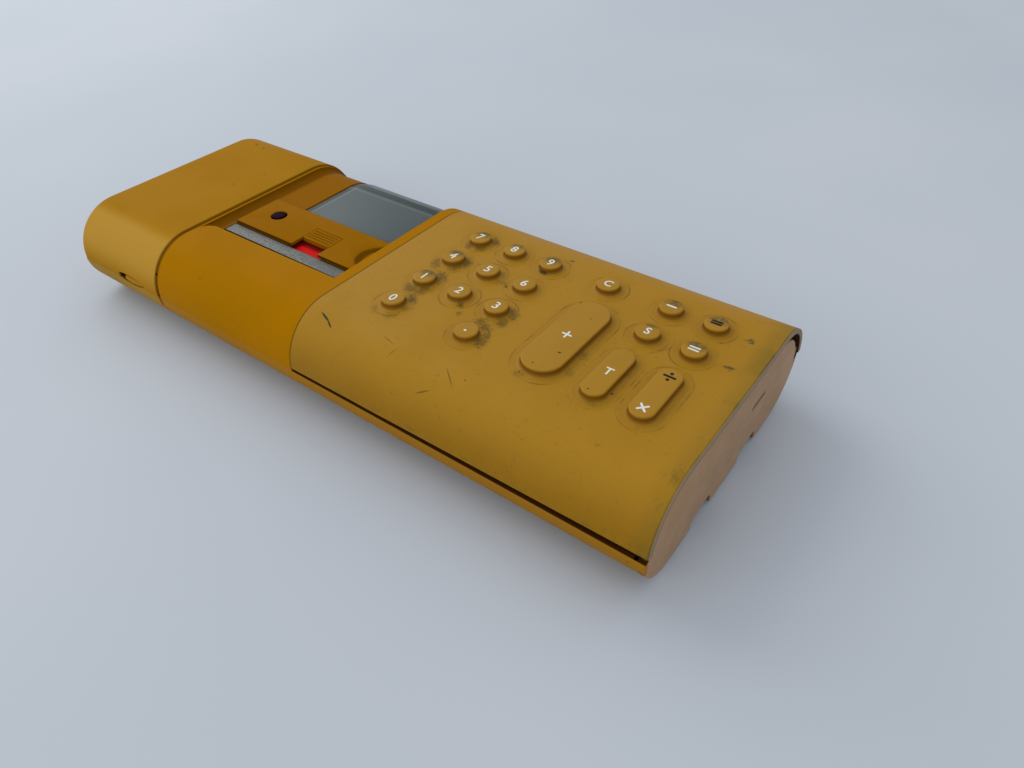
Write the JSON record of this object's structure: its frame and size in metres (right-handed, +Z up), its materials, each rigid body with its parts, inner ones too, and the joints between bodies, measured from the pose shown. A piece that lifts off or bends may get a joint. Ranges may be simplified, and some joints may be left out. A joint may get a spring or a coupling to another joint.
{
  "type": "printing calculator",
  "caption": "Long desk calculator with rounded sides: power pack plugged on one end, sunken printer deck with a clear paper window, and keys under a soft rubber skin.",
  "frame": {"origin": "middle of the footprint, on the surface that the feet stand on", "axes": "+X along the length from the power pack to the keyboard end, +Y away from the user, +Z up"},
  "size_m": [0.308, 0.121, 0.046],
  "materials": {
    "housing_amber": "satin moulded",
    "base_amber": "satin moulded",
    "panel_amber": "satin moulded",
    "skin_rubber": "matt, worn",
    "key_rubber": "matt, worn",
    "end_tan": "matt",
    "strip_metal": "brushed",
    "lens_plum": "polished",
    "window_clear": "clear, scuffed",
    "tray_grey": "matt",
    "flag_red": "satin",
    "inner_black": "matt",
    "frame_steel": "zinc plated",
    "shaft_steel": "bright",
    "roller_rubber": "matt",
    "gear_nylon": "matt",
    "motor_can": "plated",
    "pinion_brass": "bright",
    "paper_white": "paper",
    "board_green": "lacquered",
    "cell_wrap": "sleeved",
    "foot_rubber": "matt",
    "core_iron": "laminated",
    "winding_copper": "lacquered"
  },
  "bodies": {
    "case": {"base_tray": "base_amber", "printer_housing": "housing_amber", "keyboard_frame": "housing_amber", "keyboard_skin": "skin_rubber", "end_plate": "end_tan", "control_panel": "panel_amber", "trim_strip": "strip_metal", "indicator_lens": "lens_plum", "switch_body": "inner_black", "switch_flag": "flag_red", "paper_tray": "tray_grey", "printer_frame": "frame_steel", "print_head": "inner_black", "feed_motor": "motor_can", "roll_spindle": "gear_nylon", "main_board": "board_green", "logic_chips": "inner_black", "key_board": "board_green", "key_domes": "shaft_steel", "battery_holder": "inner_black", "battery_cells": "cell_wrap", "dock_socket": "inner_black", "case_screws": "shaft_steel", "rubber_feet": "foot_rubber"},
    "power_pack": {"pack_cover": "housing_amber", "pack_base": "base_amber", "pack_feet": "foot_rubber", "transformer_core": "core_iron", "transformer_winding": "winding_copper", "charger_board": "board_green", "charger_capacitor": "cell_wrap", "dock_plug": "inner_black", "mains_inlet": "inner_black"},
    "release_latch": {"release_latch": "housing_amber"},
    "power_slider": {"power_slider": "panel_amber"},
    "paper_window": {"paper_window": "window_clear"},
    "platen": {"platen_shaft": "shaft_steel", "platen_roller": "roller_rubber", "platen_gear": "gear_nylon"},
    "motor_pinion": {"motor_pinion": "pinion_brass"},
    "paper_roll": {"paper_roll": "paper_white"},
    "key_7": {"key_7": "key_rubber"},
    "key_8": {"key_8": "key_rubber"},
    "key_9": {"key_9": "key_rubber"},
    "key_4": {"key_4": "key_rubber"},
    "key_5": {"key_5": "key_rubber"},
    "key_6": {"key_6": "key_rubber"},
    "key_1": {"key_1": "key_rubber"},
    "key_2": {"key_2": "key_rubber"},
    "key_3": {"key_3": "key_rubber"},
    "key_0": {"key_0": "key_rubber"},
    "key_point": {"key_point": "key_rubber"},
    "key_clear": {"key_clear": "key_rubber"},
    "key_minus": {"key_minus": "key_rubber"},
    "key_double_bar": {"key_double_bar": "key_rubber"},
    "key_subtotal": {"key_subtotal": "key_rubber"},
    "key_equals": {"key_equals": "key_rubber"},
    "key_plus": {"key_plus": "key_rubber"},
    "key_total": {"key_total": "key_rubber"},
    "key_times_divide": {"key_times_divide": "key_rubber"}
  },
  "joints": [
    {"name": "pack_slide", "type": "slide", "parent": "case", "child": "power_pack", "axis": [-1, 0, 0], "range_m": [0, 0.04]},
    {"name": "latch_slide", "type": "slide", "parent": "power_pack", "child": "release_latch", "axis": [-1, 0, 0], "range_m": [0, 0.0046], "stiffness_N_per_m": 300},
    {"name": "switch_slide", "type": "slide", "parent": "case", "child": "power_slider", "axis": [0, -1, 0], "range_m": [0, 0.0066]},
    {"name": "window_hinge", "type": "hinge", "parent": "case", "child": "paper_window", "pos_m": [-0.039, 0.05552, 0.02839], "axis": [-1, 0, 0], "range_deg": [0, 100]},
    {"name": "platen_spin", "type": "hinge", "parent": "case", "child": "platen", "pos_m": [-0.044, 0.002, 0.025], "axis": [1, 0, 0], "continuous": true},
    {"name": "pinion_spin", "type": "hinge", "parent": "case", "child": "motor_pinion", "pos_m": [-0.081, 0.0143, 0.0154], "axis": [1, 0, 0], "continuous": true},
    {"name": "roll_spin", "type": "hinge", "parent": "case", "child": "paper_roll", "pos_m": [-0.044, -0.034, 0.0205], "axis": [1, 0, 0], "continuous": true},
    {"name": "key_7_press", "type": "slide", "parent": "case", "child": "key_7", "axis": [0, 0, -1], "range_m": [0, 0.002], "stiffness_N_per_m": 400},
    {"name": "key_8_press", "type": "slide", "parent": "case", "child": "key_8", "axis": [0, 0, -1], "range_m": [0, 0.002], "stiffness_N_per_m": 400},
    {"name": "key_9_press", "type": "slide", "parent": "case", "child": "key_9", "axis": [0, 0, -1], "range_m": [0, 0.002], "stiffness_N_per_m": 400},
    {"name": "key_4_press", "type": "slide", "parent": "case", "child": "key_4", "axis": [0, 0, -1], "range_m": [0, 0.002], "stiffness_N_per_m": 400},
    {"name": "key_5_press", "type": "slide", "parent": "case", "child": "key_5", "axis": [0, 0, -1], "range_m": [0, 0.002], "stiffness_N_per_m": 400},
    {"name": "key_6_press", "type": "slide", "parent": "case", "child": "key_6", "axis": [0, 0, -1], "range_m": [0, 0.002], "stiffness_N_per_m": 400},
    {"name": "key_1_press", "type": "slide", "parent": "case", "child": "key_1", "axis": [0, 0, -1], "range_m": [0, 0.002], "stiffness_N_per_m": 400},
    {"name": "key_2_press", "type": "slide", "parent": "case", "child": "key_2", "axis": [0, 0, -1], "range_m": [0, 0.002], "stiffness_N_per_m": 400},
    {"name": "key_3_press", "type": "slide", "parent": "case", "child": "key_3", "axis": [0, 0, -1], "range_m": [0, 0.002], "stiffness_N_per_m": 400},
    {"name": "key_0_press", "type": "slide", "parent": "case", "child": "key_0", "axis": [0, 0, -1], "range_m": [0, 0.002], "stiffness_N_per_m": 400},
    {"name": "key_point_press", "type": "slide", "parent": "case", "child": "key_point", "axis": [0, 0, -1], "range_m": [0, 0.002], "stiffness_N_per_m": 400},
    {"name": "key_clear_press", "type": "slide", "parent": "case", "child": "key_clear", "axis": [0, 0, -1], "range_m": [0, 0.002], "stiffness_N_per_m": 400},
    {"name": "key_minus_press", "type": "slide", "parent": "case", "child": "key_minus", "axis": [0, 0, -1], "range_m": [0, 0.002], "stiffness_N_per_m": 400},
    {"name": "key_double_bar_press", "type": "slide", "parent": "case", "child": "key_double_bar", "axis": [0, 0, -1], "range_m": [0, 0.002], "stiffness_N_per_m": 400},
    {"name": "key_subtotal_press", "type": "slide", "parent": "case", "child": "key_subtotal", "axis": [0, 0, -1], "range_m": [0, 0.002], "stiffness_N_per_m": 400},
    {"name": "key_equals_press", "type": "slide", "parent": "case", "child": "key_equals", "axis": [0, 0, -1], "range_m": [0, 0.002], "stiffness_N_per_m": 400},
    {"name": "key_plus_press", "type": "slide", "parent": "case", "child": "key_plus", "axis": [0, 0, -1], "range_m": [0, 0.002], "stiffness_N_per_m": 400},
    {"name": "key_total_press", "type": "slide", "parent": "case", "child": "key_total", "axis": [0, 0, -1], "range_m": [0, 0.002], "stiffness_N_per_m": 400},
    {"name": "key_times_divide_press", "type": "slide", "parent": "case", "child": "key_times_divide", "axis": [0, 0, -1], "range_m": [0, 0.002], "stiffness_N_per_m": 400}
  ],
  "couplings": [
    {"joint": "pinion_spin", "follows": "platen_spin", "ratio": -3}
  ]
}
